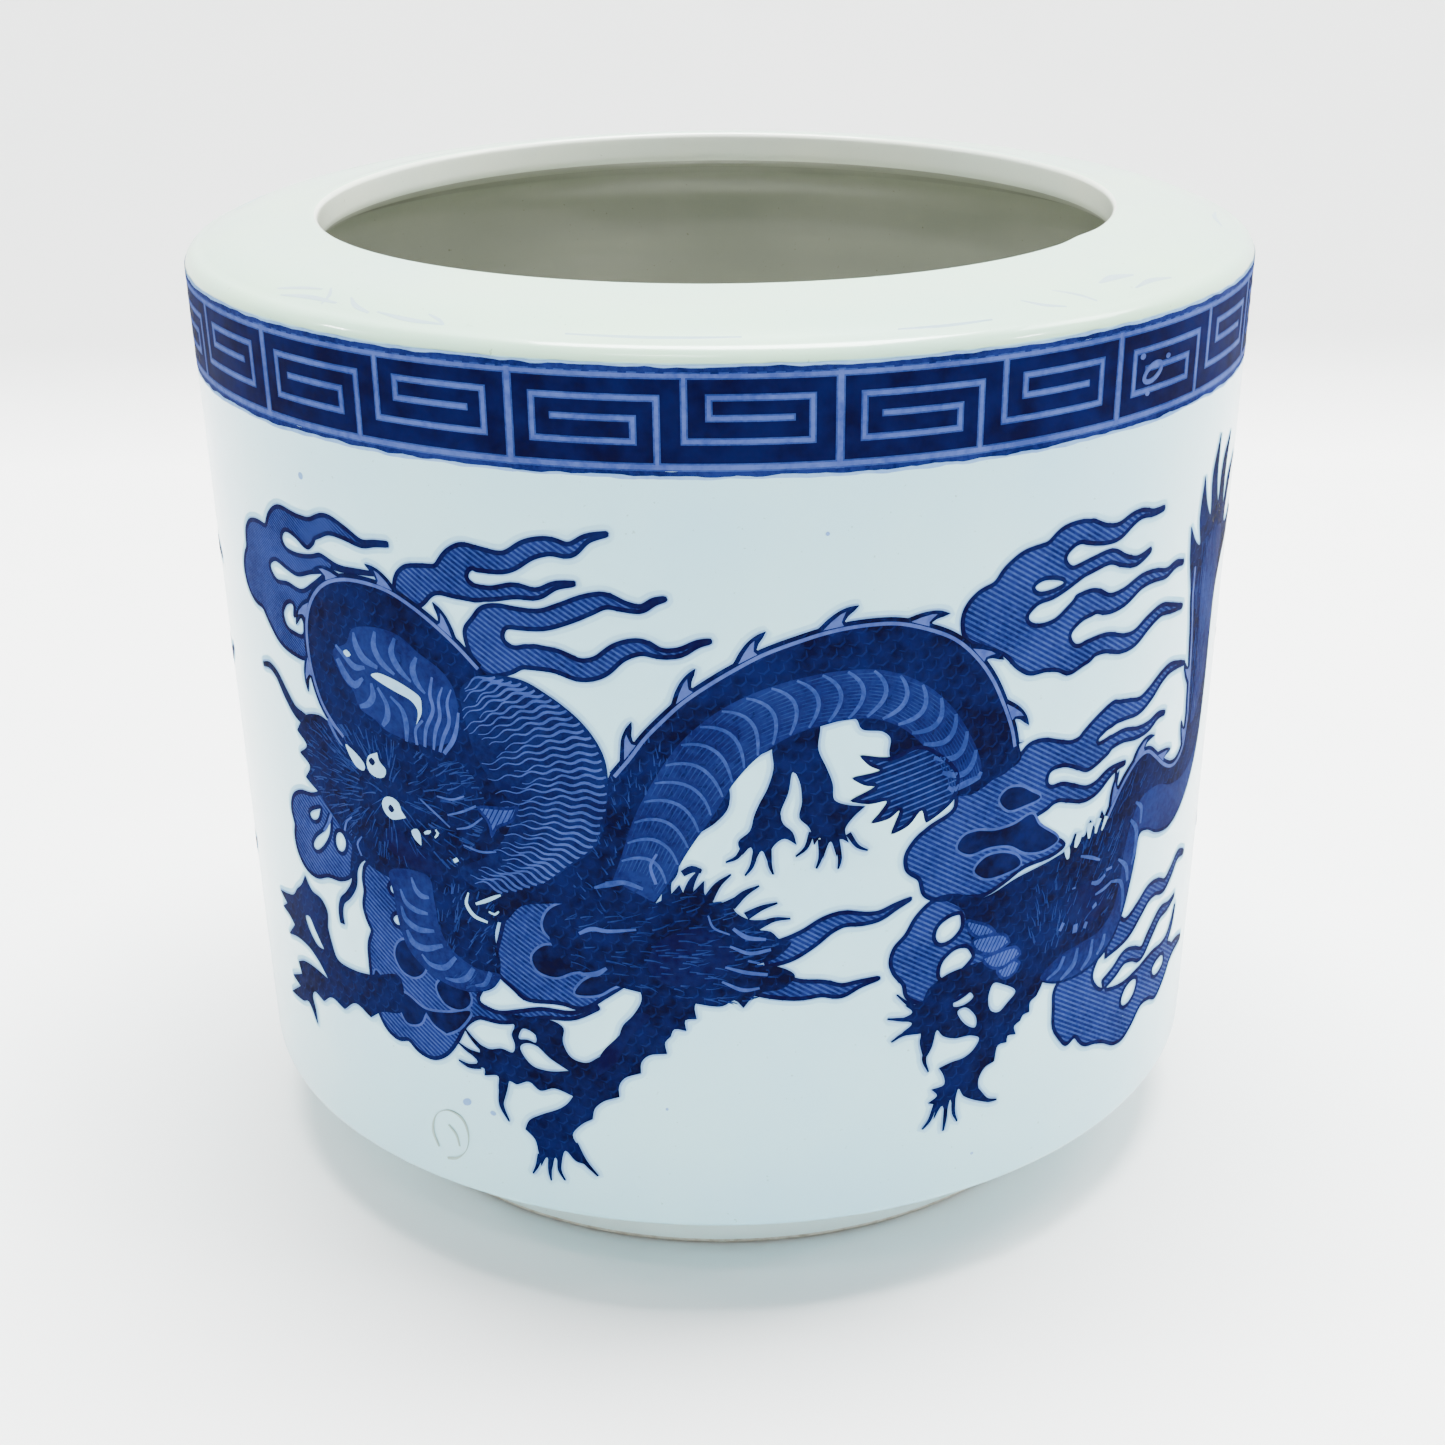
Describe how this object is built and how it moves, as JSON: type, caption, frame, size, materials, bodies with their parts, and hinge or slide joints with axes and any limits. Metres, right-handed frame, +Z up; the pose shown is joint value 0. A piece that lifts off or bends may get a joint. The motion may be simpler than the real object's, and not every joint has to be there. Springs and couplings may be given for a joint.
{
  "type": "brush holder pot",
  "caption": "Straight-sided porcelain brush pot with a turned-in domed collar, a wide round mouth and a recessed foot ring.",
  "frame": {"origin": "centre of the foot ring's tread, on the surface that the pot stands on", "axes": "+Z up along the pot's axis, out of the mouth; -Y towards the side with the running dragon's head"},
  "size_m": [0.14, 0.14, 0.129],
  "materials": {
    "glazed_porcelain": "clear gloss glaze over white porcelain",
    "cobalt_print": "cobalt blue print under the same gloss glaze",
    "biscuit": "unglazed, matt"
  },
  "bodies": {
    "root": {"foot_ring": "biscuit", "floor_disc": "glazed_porcelain", "wall": "glazed_porcelain", "rim_collar": "glazed_porcelain"}
  },
  "joints": []
}
